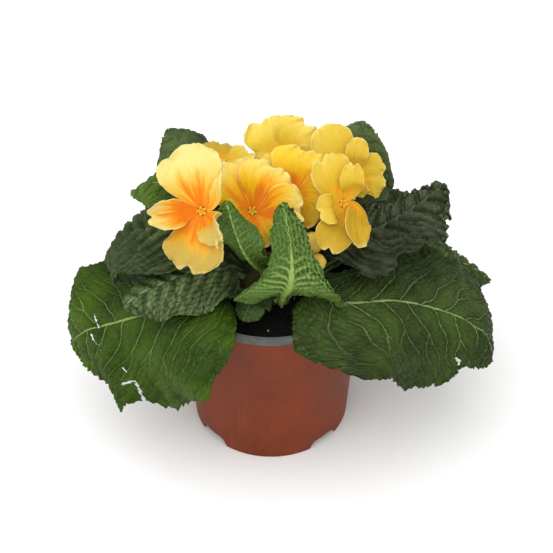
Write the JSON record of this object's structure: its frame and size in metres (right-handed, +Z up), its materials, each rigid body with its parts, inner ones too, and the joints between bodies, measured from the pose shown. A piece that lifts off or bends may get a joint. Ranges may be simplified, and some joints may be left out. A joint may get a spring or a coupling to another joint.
{
  "type": "potted primrose",
  "caption": "Yellow primrose in a round brown nursery pot: broad crinkled leaves hang over the rim round a close cluster of notched blooms with orange throats.",
  "frame": {"origin": "on the ground, below the middle of the whole plant's box; the pot's own axis stands at x -0.00625, y -0.0099", "axes": "+Z up; -Y is the side of the two young upright leaves"},
  "size_m": [0.2036, 0.1522, 0.1673],
  "materials": {
    "pot_plastic": "thin moulded brown plastic, slightly satin",
    "peat": "loose damp peat compost",
    "rootstock_bark": "short fleshy rootstock",
    "leaf": "soft crinkled leaf with a low sheen",
    "petal": "soft matt yellow petal",
    "flower_stalk": "pale green downy stalk and calyx"
  },
  "bodies": {
    "root": {"pot": "pot_plastic", "compost": "peat", "rootstock": "rootstock_bark", "leaf_left_broad": "leaf", "leaf_left_crinkled": "leaf", "leaf_left_ribbed": "leaf", "leaf_left_far": "leaf", "leaf_left_tall": "leaf", "leaf_right_tall": "leaf", "leaf_right_curly": "leaf", "leaf_right_broad": "leaf", "leaf_right_low": "leaf", "leaf_right_middle": "leaf", "leaf_front_small": "leaf", "young_leaf_left": "leaf", "young_leaf_right": "leaf", "leaf_back_left": "leaf", "leaf_back": "leaf", "leaf_back_right": "leaf", "bloom_left_petals": "petal", "bloom_left_stalk": "flower_stalk", "bloom_front_petals": "petal", "bloom_front_stalk": "flower_stalk", "bloom_middle_petals": "petal", "bloom_middle_stalk": "flower_stalk", "bloom_top_petals": "petal", "bloom_top_stalk": "flower_stalk", "bloom_top_left_petals": "petal", "bloom_top_left_stalk": "flower_stalk", "bloom_right_petals": "petal", "bloom_right_stalk": "flower_stalk", "bloom_top_right_petals": "petal", "bloom_top_right_stalk": "flower_stalk", "bloom_back_petals": "petal", "bloom_back_stalk": "flower_stalk", "bud_upper_petals": "petal", "bud_upper_stalk": "flower_stalk", "bud_lower_petals": "petal", "bud_lower_stalk": "flower_stalk"}
  },
  "joints": []
}
